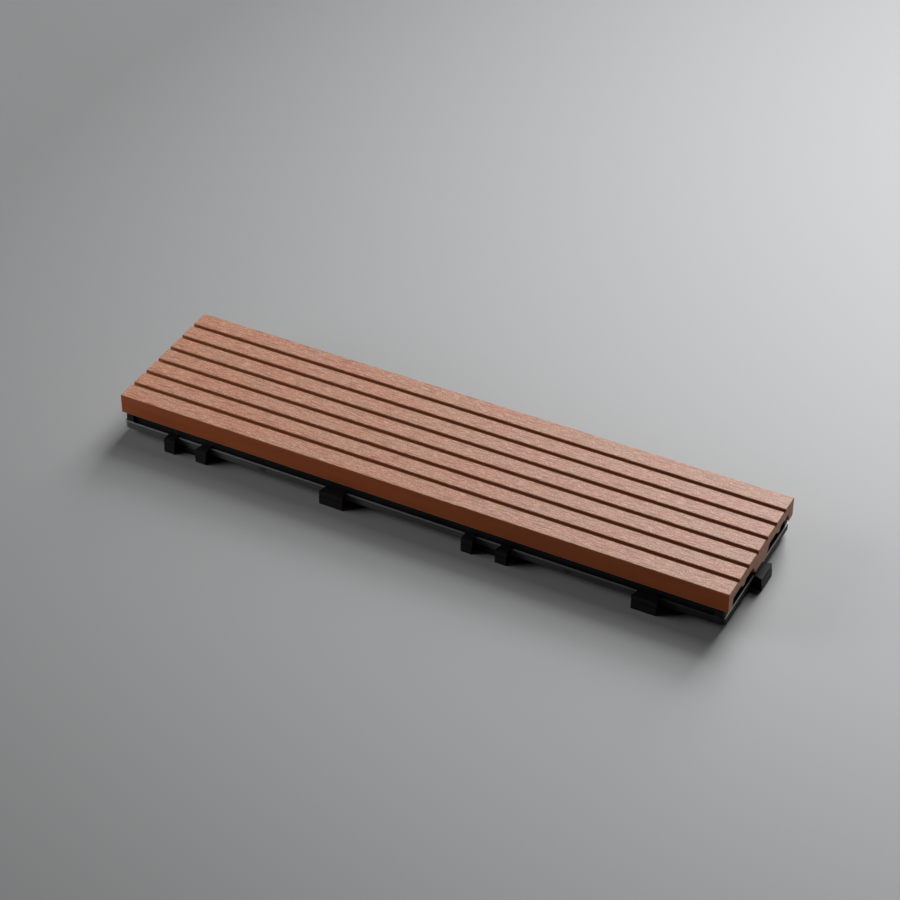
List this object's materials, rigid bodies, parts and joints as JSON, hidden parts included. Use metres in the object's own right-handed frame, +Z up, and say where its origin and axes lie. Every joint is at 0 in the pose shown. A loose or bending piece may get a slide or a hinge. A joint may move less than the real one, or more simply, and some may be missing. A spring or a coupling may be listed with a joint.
{
  "type": "interlocking deck tile",
  "caption": "Narrow interlocking floor tile: a grooved composite board screwed to a black moulded base whose dovetail lugs and forks clip to the next tile",
  "frame": {"origin": "middle of the base on the ground, under the centre of the board", "axes": "+X along the board towards the end with the single lug, +Y across it towards the back side, +Z up"},
  "size_m": [0.3032, 0.0818, 0.02],
  "materials": {
    "composite": "brushed wood composite, light pinkish brown, matt",
    "base_plastic": "black moulded polypropylene, satin",
    "screw_steel": "zinc plated, dull"
  },
  "bodies": {
    "root": {"deck_board": "composite", "base_grid": "base_plastic", "board_screws": "screw_steel"}
  },
  "joints": []
}
